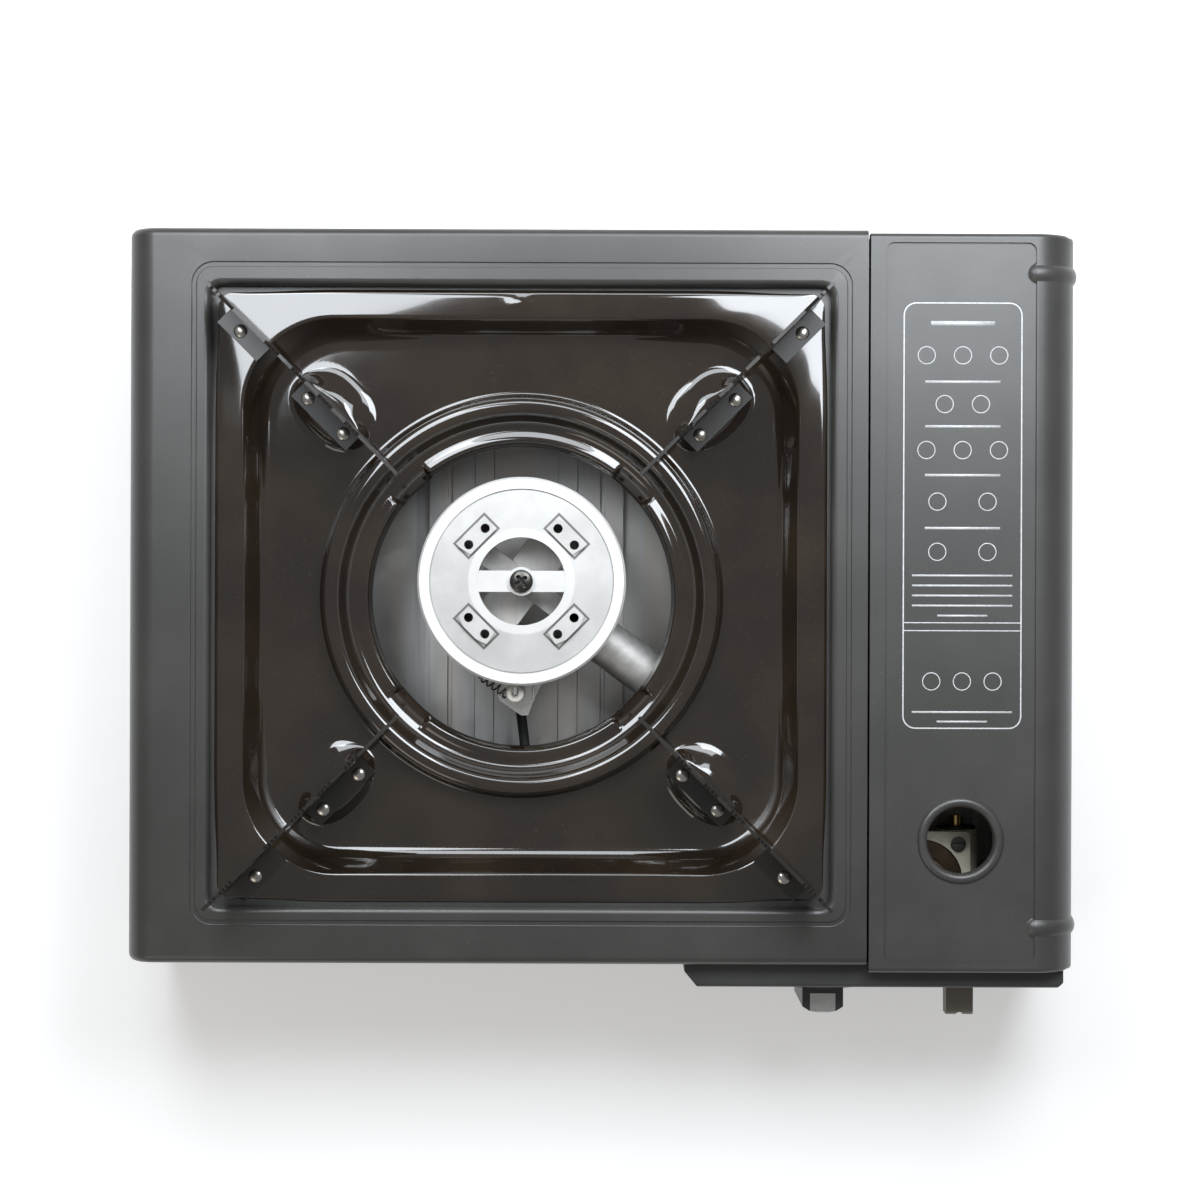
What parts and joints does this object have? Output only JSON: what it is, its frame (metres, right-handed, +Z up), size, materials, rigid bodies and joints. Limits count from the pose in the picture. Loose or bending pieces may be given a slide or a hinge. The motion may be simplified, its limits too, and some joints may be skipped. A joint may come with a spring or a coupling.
{
  "type": "butane cassette stove",
  "caption": "Portable butane stove: pressed steel case, round burner in a loose enamelled drip pan with pot supports, and a cartridge bay under a hinged lid.",
  "frame": {"origin": "under the middle of the object, on the surface its feet stand on", "axes": "+X towards the cartridge bay's side, +Y to the rear, +Z up"},
  "size_m": [0.343, 0.286, 0.108],
  "materials": {
    "case_coat": "satin black powder coat",
    "lid_coat": "satin black powder coat with a thin printed border",
    "pan_enamel": "high gloss black-brown enamel",
    "arm_enamel": "gloss black enamel",
    "zinc_sheet": "bright galvanised sheet",
    "inner_sheet": "dull galvanised sheet",
    "burner_alloy": "machined casting, matt top and bright rim",
    "tube_alloy": "as-cast aluminium",
    "die_casting": "warm grey zinc die casting",
    "cover_metal": "dark bronze lacquer",
    "brass": "turned",
    "screw_dark": "blackened steel",
    "screw_bright": "zinc plated",
    "rivet_steel": "bright steel",
    "panel_plastic": "fine spark texture",
    "knob_plastic": "semi-gloss black",
    "knob_metal": "satin silver",
    "lever_plastic": "grey-brown moulding",
    "igniter_plastic": "black moulding",
    "plunger_plastic": "natural nylon",
    "ceramic": "glazed ceramic",
    "cable_rubber": "soft black insulation",
    "clip_plastic": "nylon",
    "foot_rubber": "black rubber",
    "seal_rubber": "nitrile rubber"
  },
  "bodies": {
    "case": {"top_shell": "case_coat", "base_plate": "zinc_sheet", "feet": "foot_rubber", "foot_screws": "screw_bright", "bay_wall": "case_coat", "partition_plate": "inner_sheet", "heat_shield": "zinc_sheet", "control_panel": "panel_plastic", "burner_cap": "burner_alloy", "burner_base": "tube_alloy", "burner_screw": "screw_dark", "air_shutter": "inner_sheet", "burner_bracket": "inner_sheet", "bracket_screws": "screw_bright", "electrode_insulator": "ceramic", "electrode_pin": "screw_bright", "electrode_bracket": "inner_sheet", "ignition_cable": "cable_rubber", "cable_clips": "clip_plastic", "piezo_igniter": "igniter_plastic", "valve_body": "brass", "regulator_body": "die_casting", "diaphragm": "seal_rubber", "cover_frame": "die_casting", "diaphragm_cover": "cover_metal", "cover_screws": "screw_dark", "regulator_spring": "screw_bright", "inlet_nozzle": "brass", "inlet_seal": "seal_rubber", "injector": "brass", "regulator_bracket": "inner_sheet", "lever_pivot_pin": "screw_bright", "lever_bracket": "inner_sheet", "cartridge_guide": "inner_sheet", "cartridge_saddles": "plunger_plastic", "cartridge_stop": "screw_bright", "lid_hinge_brackets": "inner_sheet", "lid_hinge_pins": "screw_bright"},
    "pan": {"drip_pan": "pan_enamel", "support_arm_rear_right": "arm_enamel", "support_arm_rear_left": "arm_enamel", "support_arm_front_left": "arm_enamel", "support_arm_front_right": "arm_enamel", "arm_rivets": "rivet_steel"},
    "control": {"knob": "knob_plastic", "knob_insert": "knob_metal", "valve_spindle": "brass", "spindle_cam": "screw_bright"},
    "plunger": {"igniter_plunger": "plunger_plastic"},
    "lever": {"lock_lever": "screw_bright", "lever_cap": "lever_plastic"},
    "carriage": {"cartridge_carriage": "inner_sheet"},
    "lid": {"lid": "lid_coat"}
  },
  "joints": [
    {"name": "lid_hinge", "type": "hinge", "parent": "case", "child": "lid", "pos_m": [0.167, 0, 0.06], "axis": [0, 1, 0], "range_deg": [0, 90]},
    {"name": "pan_lift", "type": "slide", "parent": "case", "child": "pan", "axis": [0, 0, 1], "range_m": [0, 0.06]},
    {"name": "knob_turn", "type": "hinge", "parent": "case", "child": "control", "pos_m": [0.0808, -0.12, 0.043], "axis": [0, -1, 0], "range_deg": [0, 90]},
    {"name": "igniter_push", "type": "slide", "parent": "case", "child": "plunger", "axis": [-1, 0, 0], "range_m": [0, 0.0053]},
    {"name": "lock_lever_turn", "type": "hinge", "parent": "case", "child": "lever", "pos_m": [0.1475, -0.104, 0.046], "axis": [1, 0, 0], "range_deg": [0, 26]},
    {"name": "carriage_slide", "type": "slide", "parent": "case", "child": "carriage", "axis": [0, -1, 0], "range_m": [0, 0.0054]}
  ],
  "couplings": [
    {"joint": "igniter_push", "follows": "knob_turn", "m_per_rad": 0.00331},
    {"joint": "carriage_slide", "follows": "lock_lever_turn", "m_per_rad": 0.01159}
  ]
}
